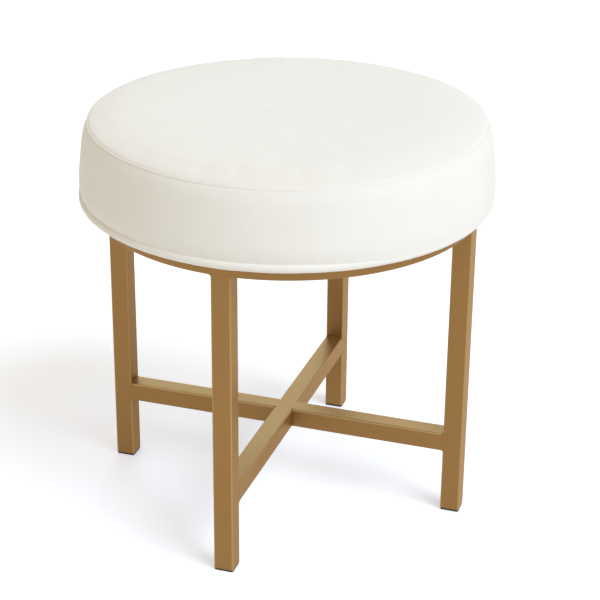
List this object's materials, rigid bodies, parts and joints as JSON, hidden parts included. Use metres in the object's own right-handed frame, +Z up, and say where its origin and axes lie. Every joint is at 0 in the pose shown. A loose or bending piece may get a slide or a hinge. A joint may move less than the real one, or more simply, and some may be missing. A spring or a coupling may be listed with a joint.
{
  "type": "vanity stool",
  "caption": "Round upholstered vanity stool: boxed velvet seat with a bottom welt on a metal hoop, square tube legs and crossed low stretchers, with plastic glides.",
  "frame": {"origin": "on the floor, under the middle of the seat", "axes": "+Z up, front leg on -Y, back leg on +Y, right leg on +X, left leg on -X"},
  "size_m": [0.458, 0.458, 0.4696],
  "materials": {
    "gold_paint": "satin antique gold powder coat on steel, with a fine orange peel",
    "seat_fabric": "cream short pile velvet",
    "batting": "white polyester wadding",
    "foam": "pale yellow open cell foam",
    "plywood": "unfinished birch plywood",
    "dust_cloth": "black non-woven dust cloth",
    "black_plastic": "matt black moulded plastic",
    "zinc_steel": "bright zinc plate"
  },
  "bodies": {
    "root": {"frame_hoop": "gold_paint", "leg_right": "gold_paint", "leg_back": "gold_paint", "leg_left": "gold_paint", "leg_front": "gold_paint", "stretcher_through": "gold_paint", "stretcher_half_right": "gold_paint", "stretcher_half_left": "gold_paint", "leg_glide_right": "black_plastic", "leg_glide_back": "black_plastic", "leg_glide_left": "black_plastic", "leg_glide_front": "black_plastic", "mounting_tab_right": "gold_paint", "mounting_tab_back": "gold_paint", "mounting_tab_left": "gold_paint", "mounting_tab_front": "gold_paint", "seat_washer_right": "zinc_steel", "seat_washer_back": "zinc_steel", "seat_washer_left": "zinc_steel", "seat_washer_front": "zinc_steel", "seat_bolt_right": "zinc_steel", "seat_bolt_back": "zinc_steel", "seat_bolt_left": "zinc_steel", "seat_bolt_front": "zinc_steel", "seat_tee_nut_right": "zinc_steel", "seat_tee_nut_back": "zinc_steel", "seat_tee_nut_left": "zinc_steel", "seat_tee_nut_front": "zinc_steel", "seat_board": "plywood", "seat_cover_hem": "seat_fabric", "seat_dust_cover": "dust_cloth", "seat_foam": "foam", "seat_batting": "batting", "seat_top_panel": "seat_fabric", "seat_side_band": "seat_fabric", "seat_top_piping": "seat_fabric", "seat_bottom_welt": "seat_fabric"}
  },
  "joints": []
}
